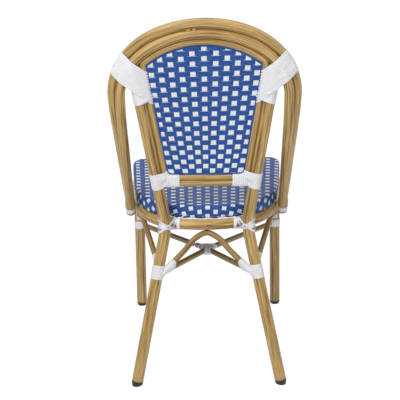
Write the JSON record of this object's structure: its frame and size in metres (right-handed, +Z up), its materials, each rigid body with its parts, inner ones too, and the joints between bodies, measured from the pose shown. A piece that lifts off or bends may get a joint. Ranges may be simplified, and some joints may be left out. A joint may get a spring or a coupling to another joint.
{
  "type": "chair",
  "caption": "Armless bistro side chair of bent tube with a double hoop back, woven back panel, woven seat and strip-lashed joints.",
  "frame": {"origin": "on the floor under the middle of the chair's bounding box", "axes": "+Z up, the sitter faces -Y, +X to the sitter's left"},
  "size_m": [0.437, 0.5376, 0.8909],
  "materials": {
    "bamboo_tube": "satin bamboo-look coating on aluminium tube",
    "lashing": "white grooved polyethylene strip",
    "weave": "blue and white woven polyethylene strip",
    "end_plastic": "dark moulded plastic",
    "seat_frame": "mill finish, hidden by the weave",
    "bolt": "zinc plated"
  },
  "bodies": {
    "root": {"arm_wrap_left": "lashing", "arm_wrap_right": "lashing", "back_crossbar": "bamboo_tube", "back_rim": "bamboo_tube", "bar_wrap_left": "lashing", "bar_wrap_right": "lashing", "centre_wrap": "lashing", "cross_brace": "bamboo_tube", "cross_brace_front_half": "bamboo_tube", "cross_brace_rear_half": "bamboo_tube", "front_glide_left": "end_plastic", "front_glide_right": "end_plastic", "front_leg_left": "bamboo_tube", "front_leg_right": "bamboo_tube", "front_leg_wrap_left": "lashing", "front_leg_wrap_right": "lashing", "inner_hoop": "bamboo_tube", "inner_hoop_cap_left": "end_plastic", "inner_hoop_cap_right": "end_plastic", "low_joint_wrap_left": "lashing", "low_joint_wrap_right": "lashing", "outer_hoop": "bamboo_tube", "outer_hoop_cap_left": "end_plastic", "outer_hoop_cap_right": "end_plastic", "rear_arch": "bamboo_tube", "rear_foot_wrap_left": "lashing", "rear_foot_wrap_right": "lashing", "rear_glide_left": "end_plastic", "rear_glide_right": "end_plastic", "rear_leg_left": "bamboo_tube", "rear_leg_right": "bamboo_tube", "seat_bolt_front_left": "bolt", "seat_bolt_front_right": "bolt", "seat_bolt_rear_left": "bolt", "seat_bolt_rear_right": "bolt", "seat_frame": "seat_frame", "seat_joint_wrap_over_left": "lashing", "seat_joint_wrap_over_right": "lashing", "seat_joint_wrap_under_left": "lashing", "seat_joint_wrap_under_right": "lashing", "seat_rail": "bamboo_tube", "side_arch_left": "bamboo_tube", "side_arch_right": "bamboo_tube", "top_wrap_left": "lashing", "top_wrap_right": "lashing", "upright_wrap_left": "lashing", "upright_wrap_right": "lashing", "weld_bead_1": "bamboo_tube", "weld_bead_2": "bamboo_tube", "woven_back": "weave", "woven_seat": "weave"}
  },
  "joints": []
}
